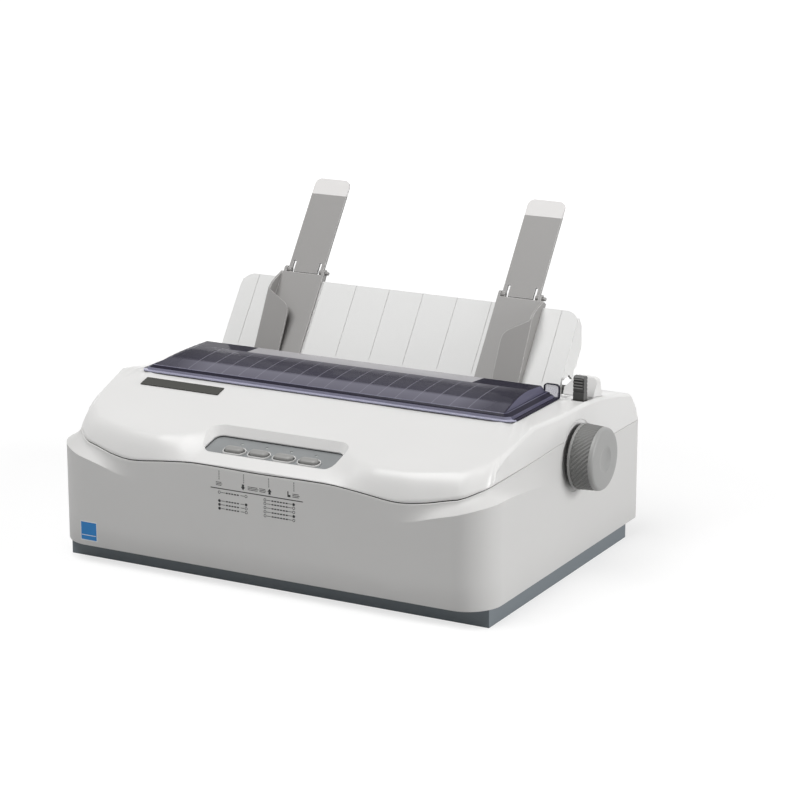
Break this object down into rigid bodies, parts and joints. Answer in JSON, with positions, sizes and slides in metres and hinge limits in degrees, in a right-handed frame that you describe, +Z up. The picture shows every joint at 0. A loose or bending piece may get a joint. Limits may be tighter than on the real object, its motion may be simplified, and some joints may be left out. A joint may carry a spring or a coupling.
{
  "type": "dot matrix printer",
  "caption": "Desk-top impact printer with a moulded two-part casing, hinged smoked cover, leaning paper support with sliding guides, side platen knob and tractor feed",
  "frame": {"origin": "centre of the casing's footprint, on the surface that the printer stands on", "axes": "+X to the right towards the platen knob, +Y to the rear, +Z up"},
  "size_m": [0.425, 0.3022, 0.2792],
  "materials": {
    "shell": "satin",
    "base": "fine texture",
    "guide": "satin",
    "knob": "satin",
    "button": "satin",
    "panel": "satin",
    "badge": "satin",
    "smoked": "clear, tinted",
    "lamp": "clear",
    "circuit": "satin",
    "lever": "satin",
    "steel": "polished",
    "sheet": "zinc plated",
    "brass": "sintered",
    "gear": "natural",
    "rubber": "ground",
    "tractor": "satin",
    "inner_guide": "satin",
    "head": "cast",
    "motor": "satin",
    "cartridge": "fine texture",
    "ribbon": "inked",
    "socket": "satin",
    "switch": "satin"
  },
  "bodies": {
    "housing": {"base_pan": "base", "rubber_feet": "rubber", "chassis_plate": "sheet", "lower_casing": "shell", "upper_casing": "shell", "lever_guard": "shell", "badge_plate": "badge", "control_panel": "panel", "panel_lamps": "lamp", "panel_board": "circuit", "left_side_frame": "sheet", "right_side_frame": "sheet", "platen_bushes": "brass", "idler_stud": "steel", "feed_motor": "motor", "tractor_rail": "steel", "left_tractor": "tractor", "right_tractor": "tractor", "paper_pan": "sheet", "paper_guide": "inner_guide", "carriage_rod": "steel", "front_rail": "steel", "carriage_belt": "rubber", "carriage_motor": "motor", "ribbon_cartridge": "cartridge", "ink_ribbon": "ribbon", "main_board": "circuit", "power_supply": "sheet", "power_inlet": "socket", "data_ports": "socket", "casing_screws": "steel"},
    "cover": {"smoked_cover": "smoked"},
    "support": {"paper_support": "shell"},
    "right_guide": {"right_paper_guide": "guide"},
    "left_guide": {"left_paper_guide": "guide"},
    "right_flap": {"right_extension_flap": "guide"},
    "left_flap": {"left_extension_flap": "guide"},
    "platen": {"platen_roller": "rubber", "platen_shaft": "steel", "platen_gear": "gear", "platen_knob": "knob"},
    "idler": {"idler_gear": "gear"},
    "pinion": {"feed_pinion": "gear"},
    "tractor_drive": {"tractor_shaft": "steel", "tractor_gear": "gear", "tractor_sprockets": "gear"},
    "nip": {"pressure_rollers": "rubber"},
    "carriage": {"head_carriage": "tractor", "print_head": "head"},
    "motor_pulley": {"drive_pulley": "head"},
    "end_pulley": {"idler_pulley": "head"},
    "ribbon_drive": {"ribbon_knob": "gear"},
    "paper_lever": {"release_lever": "lever"},
    "gap_lever": {"head_gap_lever": "lever"},
    "pause": {"pause_button": "button"},
    "feed": {"feed_button": "button"},
    "load": {"load_button": "button"},
    "tear": {"tear_button": "button"},
    "switch": {"power_switch": "switch"}
  },
  "joints": [
    {"name": "cover_hinge", "type": "hinge", "parent": "housing", "child": "cover", "pos_m": [0, 0.033, 0.1375], "axis": [-1, 0, 0], "range_deg": [0, 75]},
    {"name": "support_tilt", "type": "hinge", "parent": "housing", "child": "support", "pos_m": [0, 0.06, 0.133], "axis": [-1, 0, 0], "range_deg": [0, 35]},
    {"name": "right_guide_slide", "type": "slide", "parent": "support", "child": "right_guide", "axis": [1, 0, 0], "range_m": [-0.06, 0.025]},
    {"name": "left_guide_slide", "type": "slide", "parent": "support", "child": "left_guide", "axis": [1, 0, 0], "range_m": [-0.0275, 0.0575]},
    {"name": "right_flap_fold", "type": "hinge", "parent": "right_guide", "child": "right_flap", "pos_m": [0.107, 0.10484, 0.20573], "axis": [-1, 0, 0], "range_deg": [0, 90]},
    {"name": "left_flap_fold", "type": "hinge", "parent": "left_guide", "child": "left_flap", "pos_m": [-0.1045, 0.10484, 0.20573], "axis": [-1, 0, 0], "range_deg": [0, 90]},
    {"name": "platen_turn", "type": "hinge", "parent": "housing", "child": "platen", "pos_m": [0, 0.018, 0.102], "axis": [1, 0, 0], "continuous": true},
    {"name": "idler_turn", "type": "hinge", "parent": "housing", "child": "idler", "pos_m": [-0.155, 0.04371, 0.07136], "axis": [1, 0, 0], "continuous": true},
    {"name": "pinion_turn", "type": "hinge", "parent": "housing", "child": "pinion", "pos_m": [-0.155, 0.03171, 0.05057], "axis": [1, 0, 0], "continuous": true},
    {"name": "tractor_turn", "type": "hinge", "parent": "housing", "child": "tractor_drive", "pos_m": [0, 0.07002, 0.08094], "axis": [1, 0, 0], "continuous": true},
    {"name": "nip_turn", "type": "hinge", "parent": "housing", "child": "nip", "pos_m": [0, 0.01395, 0.07905], "axis": [1, 0, 0], "continuous": true},
    {"name": "carriage_slide", "type": "slide", "parent": "housing", "child": "carriage", "axis": [1, 0, 0], "range_m": [-0.1, 0.1]},
    {"name": "motor_pulley_turn", "type": "hinge", "parent": "housing", "child": "motor_pulley", "pos_m": [-0.122, -0.044, 0.069], "axis": [0, 0, 1], "range_deg": [-740, 740]},
    {"name": "end_pulley_turn", "type": "hinge", "parent": "housing", "child": "end_pulley", "pos_m": [0.122, -0.044, 0.069], "axis": [0, 0, 1], "range_deg": [-740, 740]},
    {"name": "ribbon_wind", "type": "hinge", "parent": "housing", "child": "ribbon_drive", "pos_m": [-0.12, -0.047, 0.118], "axis": [0, 0, 1], "continuous": true},
    {"name": "paper_lever_swing", "type": "hinge", "parent": "housing", "child": "paper_lever", "pos_m": [0.1858, 0.0425, 0.1], "axis": [-1, 0, 0], "range_deg": [0, 9]},
    {"name": "gap_lever_swing", "type": "hinge", "parent": "housing", "child": "gap_lever", "pos_m": [-0.15, -0.03, 0.09], "axis": [1, 0, 0], "range_deg": [-12, 12]},
    {"name": "pause_press", "type": "slide", "parent": "housing", "child": "pause", "axis": [0, 0.2554, -0.9668], "range_m": [0, 0.0012], "stiffness_N_per_m": 300, "springref_m": -0.0005},
    {"name": "feed_press", "type": "slide", "parent": "housing", "child": "feed", "axis": [0, 0.2554, -0.9668], "range_m": [0, 0.0012], "stiffness_N_per_m": 300, "springref_m": -0.0005},
    {"name": "load_press", "type": "slide", "parent": "housing", "child": "load", "axis": [0, 0.2554, -0.9668], "range_m": [0, 0.0012], "stiffness_N_per_m": 300, "springref_m": -0.0005},
    {"name": "tear_press", "type": "slide", "parent": "housing", "child": "tear", "axis": [0, 0.2554, -0.9668], "range_m": [0, 0.0012], "stiffness_N_per_m": 300, "springref_m": -0.0005},
    {"name": "switch_rock", "type": "hinge", "parent": "housing", "child": "switch", "pos_m": [-0.092, 0.1415, 0.042], "axis": [0, 0, -1], "range_deg": [0, 18]}
  ],
  "couplings": [
    {"joint": "idler_turn", "follows": "platen_turn", "ratio": -1.5},
    {"joint": "pinion_turn", "follows": "platen_turn", "ratio": 3},
    {"joint": "tractor_turn", "follows": "platen_turn", "ratio": 2},
    {"joint": "nip_turn", "follows": "platen_turn", "ratio": -2.8333},
    {"joint": "motor_pulley_turn", "follows": "carriage_slide", "rad_per_m": -114.94},
    {"joint": "end_pulley_turn", "follows": "carriage_slide", "rad_per_m": -114.94}
  ]
}
